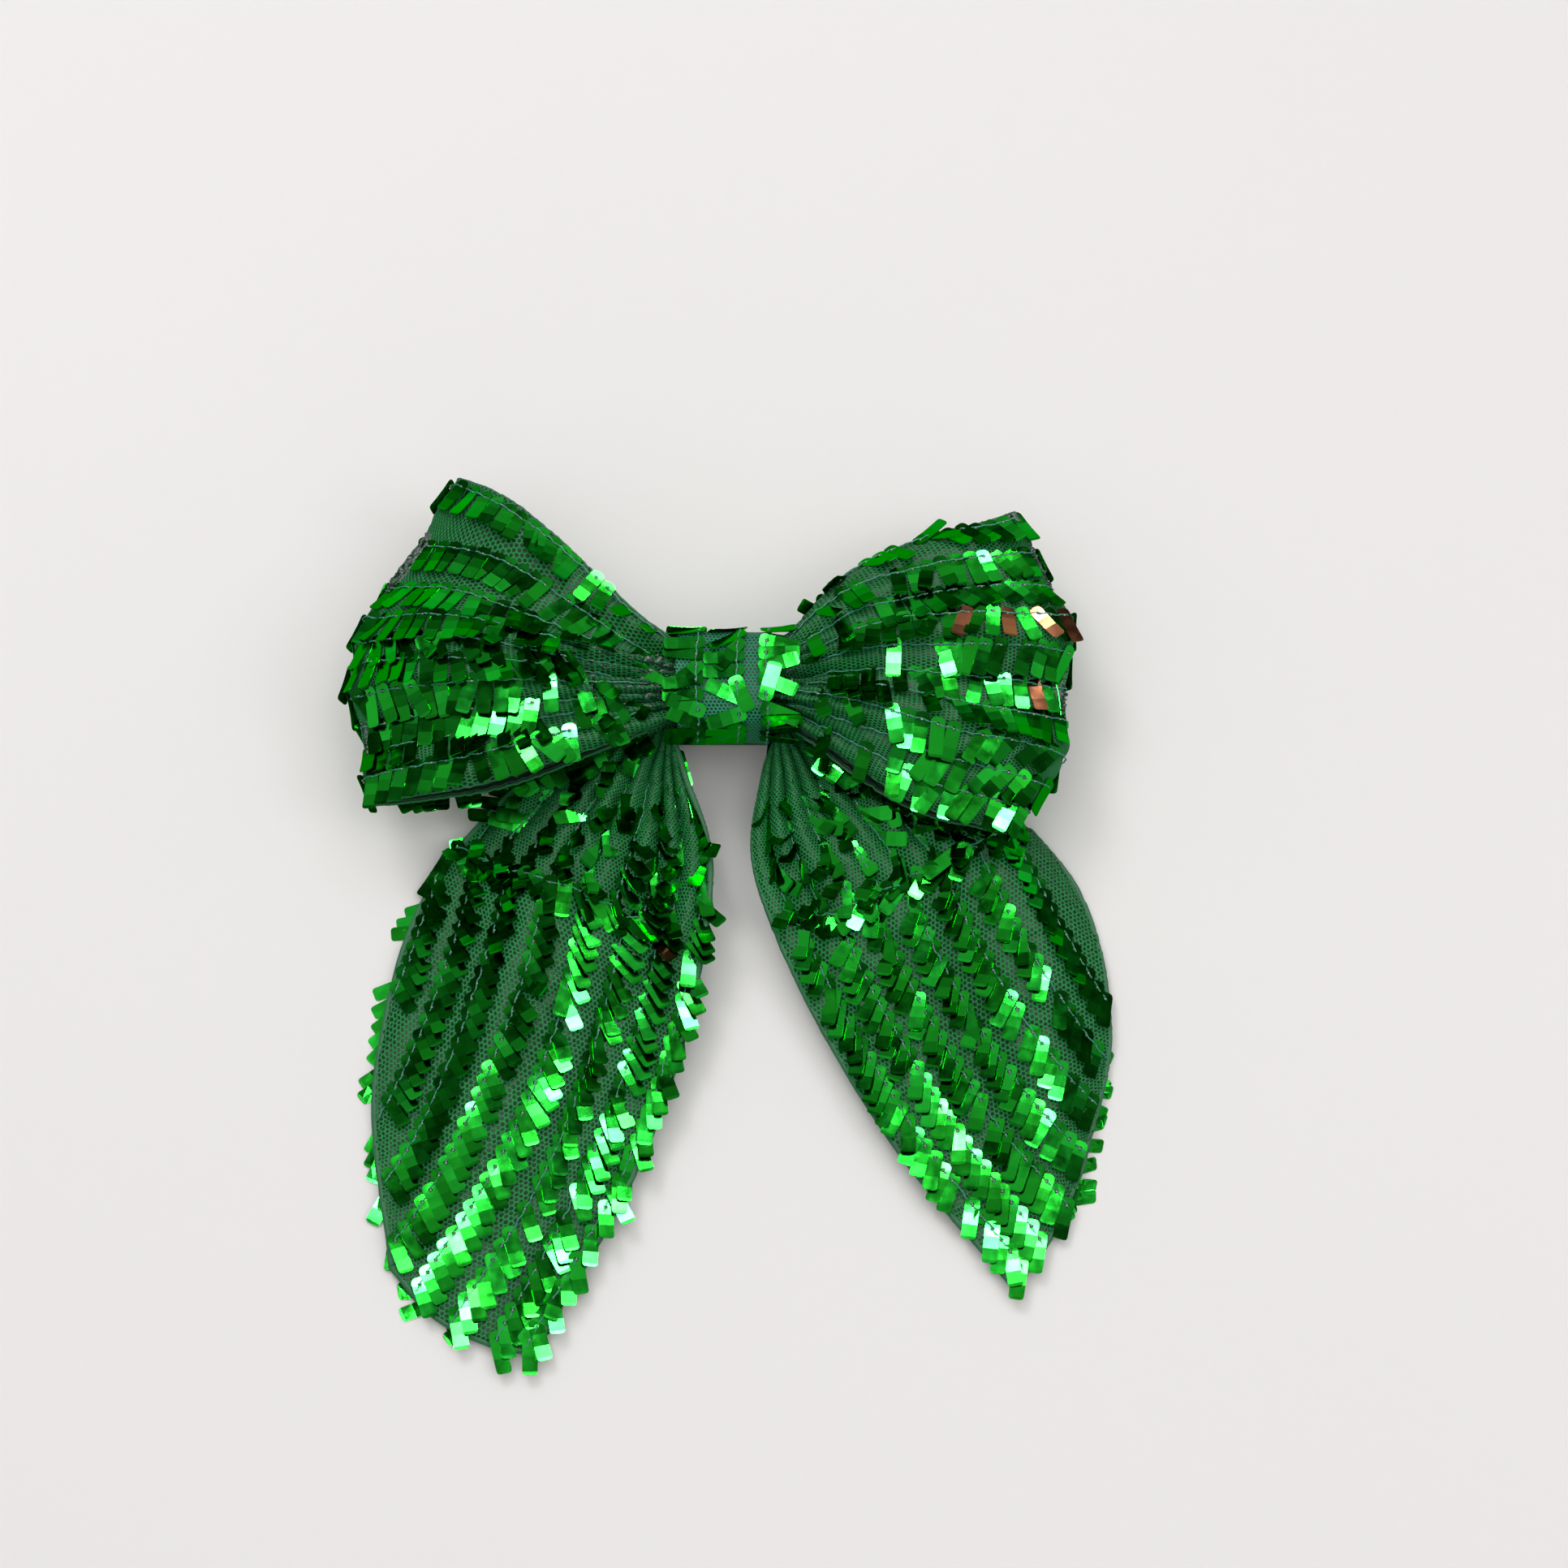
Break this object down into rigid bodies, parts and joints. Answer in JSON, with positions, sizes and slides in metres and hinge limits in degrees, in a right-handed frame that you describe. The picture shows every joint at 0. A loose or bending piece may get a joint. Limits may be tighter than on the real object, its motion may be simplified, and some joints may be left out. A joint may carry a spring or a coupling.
{
  "type": "cheer hair bow",
  "caption": "Large sequinned cheer bow with gathered loops, pointed tails and a wrapped centre band, sewn to a French barrette that clips into the hair.",
  "frame": {"origin": "the middle of the clip arm's flat underside, on which the bow lies", "axes": "+X along the clip to the bow's right, +Y from the tails towards the loops' tops, +Z out of the bow's front"},
  "size_m": [0.1763, 0.2084, 0.0312],
  "materials": {
    "sequin_cloth": "metallic green foil sequins on knitted net",
    "lining": "dark green satin",
    "band_cloth": "green net over satin, two sequin rows",
    "thread": "teal polyester thread",
    "felt": "pressed wool-blend felt",
    "grosgrain": "ribbed ribbon",
    "nickel_plate": "satin nickel plate",
    "spring_steel": "plain spring steel"
  },
  "bodies": {
    "bow": {"left_loop_sequin_cloth": "sequin_cloth", "left_loop_lining": "lining", "right_loop_sequin_cloth": "sequin_cloth", "right_loop_lining": "lining", "centre_band": "band_cloth", "gathering_thread": "thread", "clip_ribbon": "grosgrain", "felt_pad": "felt", "barrette_base": "nickel_plate", "hinge_pin": "nickel_plate", "tension_leaf": "spring_steel", "catch_bracket": "spring_steel", "leaf_rivet": "nickel_plate", "catch_rivet": "nickel_plate"},
    "arm": {"barrette_arm": "nickel_plate"},
    "catch_front": {"catch_ear_front": "spring_steel"},
    "catch_rear": {"catch_ear_rear": "spring_steel"},
    "tail_left": {"left_tail_front": "sequin_cloth", "left_tail_back": "sequin_cloth"},
    "tail_right": {"right_tail_front": "sequin_cloth", "right_tail_back": "sequin_cloth"}
  },
  "joints": [
    {"name": "arm_hinge", "type": "hinge", "parent": "bow", "child": "arm", "pos_m": [-0.0375, 0, 0.0036], "axis": [0, 1, 0], "range_deg": [0, 60]},
    {"name": "catch_squeeze_front", "type": "hinge", "parent": "bow", "child": "catch_front", "pos_m": [0.036, -0.0025, 0.007], "axis": [1, 0, 0], "range_deg": [0, 8], "stiffness_Nm_per_rad": 0.02},
    {"name": "catch_squeeze_rear", "type": "hinge", "parent": "bow", "child": "catch_rear", "pos_m": [0.036, 0.0025, 0.007], "axis": [-1, 0, 0], "range_deg": [0, 8], "stiffness_Nm_per_rad": 0.02},
    {"name": "tail_left_swing", "type": "hinge", "parent": "bow", "child": "tail_left", "pos_m": [-0.008, -0.003, 0.014], "axis": [0, 0, -1], "range_deg": [-3, 12]},
    {"name": "tail_right_swing", "type": "hinge", "parent": "bow", "child": "tail_right", "pos_m": [0.008, -0.003, 0.014], "axis": [0, 0, 1], "range_deg": [-3, 12]}
  ],
  "couplings": [
    {"joint": "catch_squeeze_rear", "follows": "catch_squeeze_front", "ratio": 1}
  ]
}
